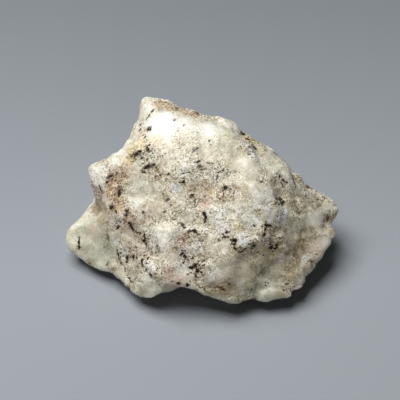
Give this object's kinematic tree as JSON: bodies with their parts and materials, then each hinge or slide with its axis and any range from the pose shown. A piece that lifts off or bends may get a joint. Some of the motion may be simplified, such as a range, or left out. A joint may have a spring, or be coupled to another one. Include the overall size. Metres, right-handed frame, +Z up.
{
  "type": "rough tugtupite stone",
  "caption": "Rough broken lump of pale tugtupite rock, high at the back and sloping to the front, lying on a small flat spot.",
  "frame": {"origin": "on the table, in the middle of the small flat spot that the stone lies on", "axes": "+X along the stone's longest side, +Y towards its high back, +Z up"},
  "size_m": [0.0578, 0.0428, 0.0269],
  "materials": {
    "stone": "rough"
  },
  "bodies": {
    "root": {"stone": "stone"}
  },
  "joints": []
}
